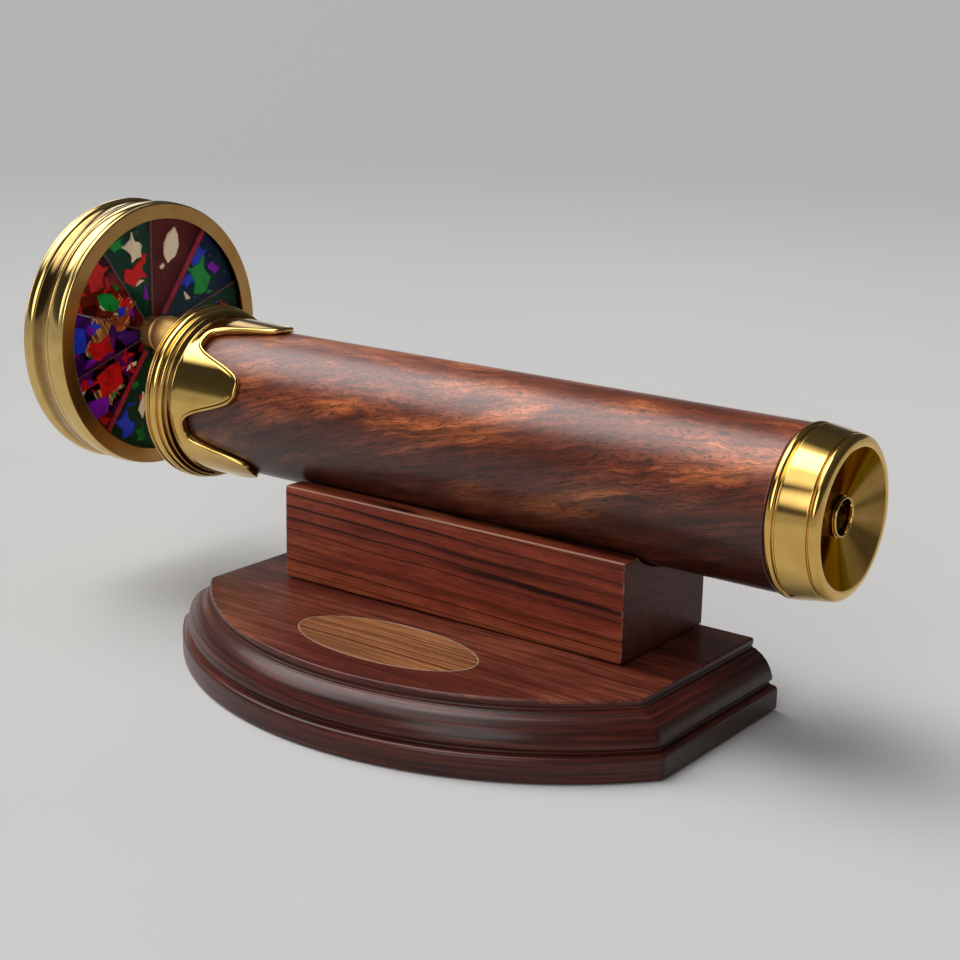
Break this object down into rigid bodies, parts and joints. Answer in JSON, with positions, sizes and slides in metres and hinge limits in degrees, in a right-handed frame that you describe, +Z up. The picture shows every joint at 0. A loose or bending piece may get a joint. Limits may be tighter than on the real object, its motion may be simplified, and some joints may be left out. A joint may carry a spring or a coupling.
{
  "type": "kaleidoscope",
  "caption": "Wooden-barrelled kaleidoscope with brass ends and a turning wheel of coloured glass, lying in the grooved cradle of a bow-fronted wooden stand.",
  "frame": {"origin": "on the stand's felt underside, straight below the barrel's axis and midway along the cradle block", "axes": "+X runs along the barrel from the wheel to the eyepiece, +Y points to the base's flat back, +Z is up"},
  "size_m": [0.2123, 0.0985, 0.0997],
  "materials": {
    "mahogany": "dark reddish mahogany with long grain, lacquered",
    "felt": "dark green felt",
    "satinwood": "golden brown figured veneer, lacquered",
    "boxwood": "pale line inlay, lacquered",
    "block_wood": "reddish brown wood with straight dark grain, satin, worn at the edges",
    "rosewood": "reddish brown rosewood with fine dark pores, glossy lacquer",
    "brass": "polished",
    "steel": "plain",
    "clear_glass": "clear",
    "mirror": "front-silvered",
    "cork": "cork",
    "dark_came": "blackened strip",
    "red_glass": "glossy red rod",
    "maroon_glass": "dark maroon stained glass",
    "green_glass": "dark green stained glass",
    "plum_glass": "dark plum stained glass",
    "violet_glass": "violet stained glass",
    "crimson_glass": "crimson stained glass",
    "navy_glass": "navy stained glass",
    "cream_chip": "cream opal glass",
    "red_chip": "red glass",
    "green_chip": "green glass",
    "blue_chip": "blue glass",
    "violet_chip": "violet glass"
  },
  "bodies": {
    "stand": {"base": "mahogany", "base_felt": "felt", "inlay_panel": "satinwood", "inlay_stringing": "boxwood", "cradle_block": "block_wood", "cradle_screw_left": "steel", "cradle_screw_right": "steel"},
    "scope": {"barrel": "rosewood", "crown_collar": "brass", "end_plate": "brass", "object_window": "clear_glass", "window_ring": "brass", "mirror_upper": "mirror", "mirror_left": "mirror", "mirror_right": "mirror", "mirror_holder_front": "cork", "mirror_holder_rear": "cork", "eye_window": "clear_glass", "eye_cap": "brass", "eyelet": "brass", "axle": "steel", "axle_washer": "brass", "axle_nut": "brass"},
    "wheel": {"wheel_rim": "brass", "back_bezel": "brass", "front_glass": "clear_glass", "rear_glass": "clear_glass", "sector_01": "maroon_glass", "sector_02": "green_glass", "sector_03": "plum_glass", "sector_04": "violet_glass", "sector_05": "crimson_glass", "sector_06": "green_glass", "sector_07": "maroon_glass", "sector_08": "navy_glass", "sector_09": "green_glass", "sector_10": "navy_glass", "divider_frame": "dark_came", "divider_rod_upper": "red_glass", "divider_rod_lower": "red_glass", "chip_01": "cream_chip", "chip_02": "cream_chip", "chip_03": "red_chip", "chip_04": "red_chip", "chip_05": "green_chip", "chip_06": "blue_chip", "chip_07": "red_chip", "chip_08": "violet_chip", "chip_09": "red_chip", "chip_10": "blue_chip", "chip_11": "cream_chip", "chip_12": "green_chip", "chip_13": "red_chip", "chip_14": "blue_chip", "chip_15": "green_chip", "wheel_hub": "brass", "hub_flange": "brass"}
  },
  "joints": [
    {"name": "scope_lift", "type": "slide", "parent": "stand", "child": "scope", "axis": [0, 0, 1], "range_m": [0, 0.06]},
    {"name": "wheel_spin", "type": "hinge", "parent": "scope", "child": "wheel", "pos_m": [-0.1135, 0, 0.0654], "axis": [1, 0, 0], "continuous": true}
  ]
}
